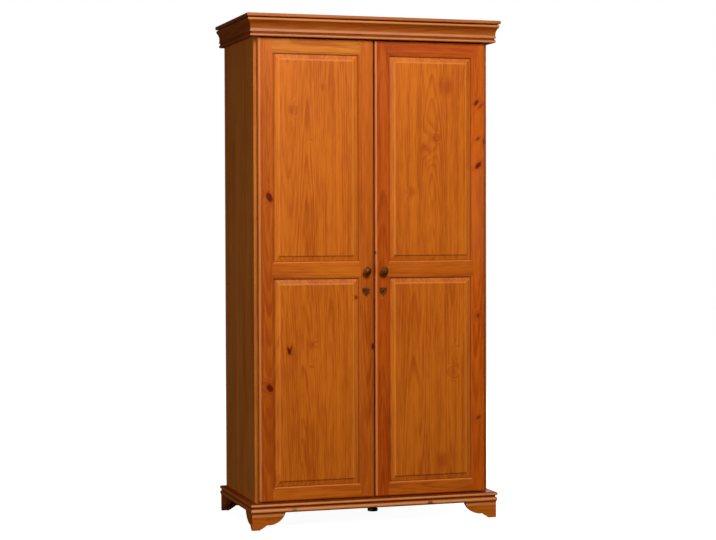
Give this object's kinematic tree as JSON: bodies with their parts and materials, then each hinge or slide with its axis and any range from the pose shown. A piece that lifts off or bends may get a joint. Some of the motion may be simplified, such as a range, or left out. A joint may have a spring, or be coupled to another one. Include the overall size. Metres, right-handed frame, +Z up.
{
  "type": "two-door wardrobe",
  "caption": "Free-standing pine wardrobe with lay-on panelled doors, moulded cornice, bracket feet, hat shelf and hanging rail.",
  "frame": {"origin": "on the floor under the middle of the overall box", "axes": "+Z up, doors face -Y, +X to the viewer's right"},
  "size_m": [1.02, 0.529, 1.95],
  "materials": {
    "pine": "honey stain under satin lacquer",
    "hardboard": "smooth, unlacquered",
    "strip": "matt",
    "bronze": "dark antique bronze",
    "steel": "satin",
    "black_plastic": "matt"
  },
  "bodies": {
    "carcass": {"left_side_panel": "pine", "right_side_panel": "pine", "top_panel": "pine", "bottom_panel": "pine", "left_back_panel": "hardboard", "right_back_panel": "hardboard", "back_joining_strip": "strip", "header_rail": "pine", "front_plinth_rail": "pine", "rear_plinth_rail": "pine", "cap_board": "pine", "hat_shelf": "pine", "shelf_battens": "pine", "hanging_rail": "pine", "rail_sockets": "steel", "front_cornice": "pine", "left_cornice": "pine", "right_cornice": "pine", "front_base_moulding": "pine", "left_base_moulding": "pine", "right_base_moulding": "pine", "front_left_foot_face": "pine", "front_left_foot_return": "pine", "front_right_foot_face": "pine", "front_right_foot_return": "pine", "rear_left_foot_face": "pine", "rear_left_foot_return": "pine", "rear_right_foot_face": "pine", "rear_right_foot_return": "pine", "foot_corner_blocks": "pine", "pivot_sockets": "steel"},
    "left_door": {"left_hinge_stile": "pine", "left_meeting_stile": "pine", "left_bottom_rail": "pine", "left_middle_rail": "pine", "left_top_rail": "pine", "left_lower_panel": "pine", "left_upper_panel": "pine", "left_door_pivots": "steel", "left_knob": "bronze", "left_keyhole_plate": "bronze", "lock_keep": "steel", "bolt_guide": "steel"},
    "right_door": {"right_hinge_stile": "pine", "right_meeting_stile": "pine", "right_bottom_rail": "pine", "right_middle_rail": "pine", "right_top_rail": "pine", "right_lower_panel": "pine", "right_upper_panel": "pine", "right_door_pivots": "steel", "right_knob": "bronze", "right_keyhole_plate": "bronze", "lock_case": "steel"},
    "lock_bolt": {"lock_bolt": "steel"},
    "surface_bolt": {"surface_bolt": "steel"},
    "centre_foot": {"centre_foot": "black_plastic"}
  },
  "joints": [
    {"name": "left_door_hinge", "type": "hinge", "parent": "carcass", "child": "left_door", "pos_m": [-0.453, -0.2175, 0.9825], "axis": [0, 0, -1], "range_deg": [0, 110]},
    {"name": "right_door_hinge", "type": "hinge", "parent": "carcass", "child": "right_door", "pos_m": [0.453, -0.2175, 0.9825], "axis": [0, 0, 1], "range_deg": [0, 110]},
    {"name": "lock_bolt_slide", "type": "slide", "parent": "right_door", "child": "lock_bolt", "axis": [-1, 0, 0], "range_m": [0, 0.009]},
    {"name": "surface_bolt_slide", "type": "slide", "parent": "left_door", "child": "surface_bolt", "axis": [0, 0, 1], "range_m": [0, 0.014]},
    {"name": "centre_foot_screw", "type": "slide", "parent": "carcass", "child": "centre_foot", "axis": [0, 0, -1], "range_m": [0, 0.042]}
  ]
}
